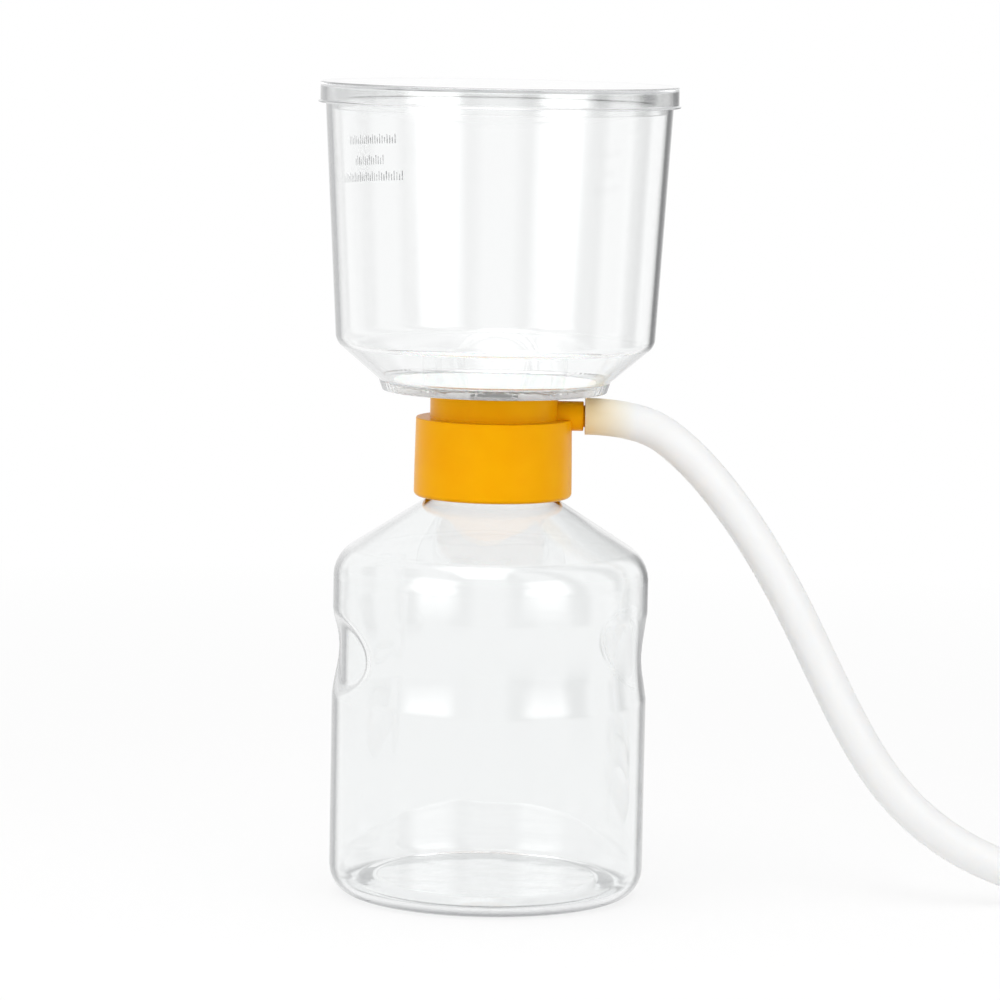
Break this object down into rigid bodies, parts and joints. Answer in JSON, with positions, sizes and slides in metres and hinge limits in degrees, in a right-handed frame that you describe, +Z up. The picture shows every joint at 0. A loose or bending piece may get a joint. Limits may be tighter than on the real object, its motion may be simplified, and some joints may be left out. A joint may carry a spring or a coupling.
{
  "type": "vacuum filtration unit",
  "caption": "Clear lidded funnel with a filter membrane on an amber neck adapter, screwed to a clear receiver bottle, with a vacuum hose on its side port.",
  "frame": {"origin": "middle of the bottle's base, on the surface it stands on", "axes": "+Z up along the axis of the bottle and funnel; +X towards the vacuum port"},
  "size_m": [0.4038, 0.1948, 0.29],
  "materials": {
    "clear_polystyrene": "clear, glossy moulded polystyrene",
    "amber_plastic": "amber-orange moulded plastic, satin gloss",
    "membrane": "matt white filter membrane",
    "seal_silicone": "translucent silicone",
    "hose_silicone": "translucent white silicone tubing",
    "cotton": "white cotton wool"
  },
  "bodies": {
    "bottle": {"bottle": "clear_polystyrene"},
    "gasket": {"neck_gasket": "seal_silicone"},
    "filter_unit": {"vacuum_adapter": "amber_plastic", "port_cotton_plug": "cotton", "filter_base": "clear_polystyrene", "base_seal_ring": "seal_silicone", "filter_membrane": "membrane", "funnel": "clear_polystyrene", "vacuum_hose": "hose_silicone", "vacuum_hose_coil": "hose_silicone"},
    "lid": {"lid": "clear_polystyrene"}
  },
  "joints": [
    {"name": "unscrew_lift", "type": "slide", "parent": "bottle", "child": "gasket", "axis": [0, 0, 1], "range_m": [0, 0.008]},
    {"name": "unscrew_turn", "type": "hinge", "parent": "gasket", "child": "filter_unit", "pos_m": [0, 0, 0.1633], "axis": [0, 0, 1], "range_deg": [0, 720]},
    {"name": "lid_lift", "type": "slide", "parent": "filter_unit", "child": "lid", "axis": [0, 0, 1], "range_m": [0, 0.04]}
  ],
  "couplings": [
    {"joint": "unscrew_lift", "follows": "unscrew_turn", "m_per_rad": 0.0006366}
  ]
}
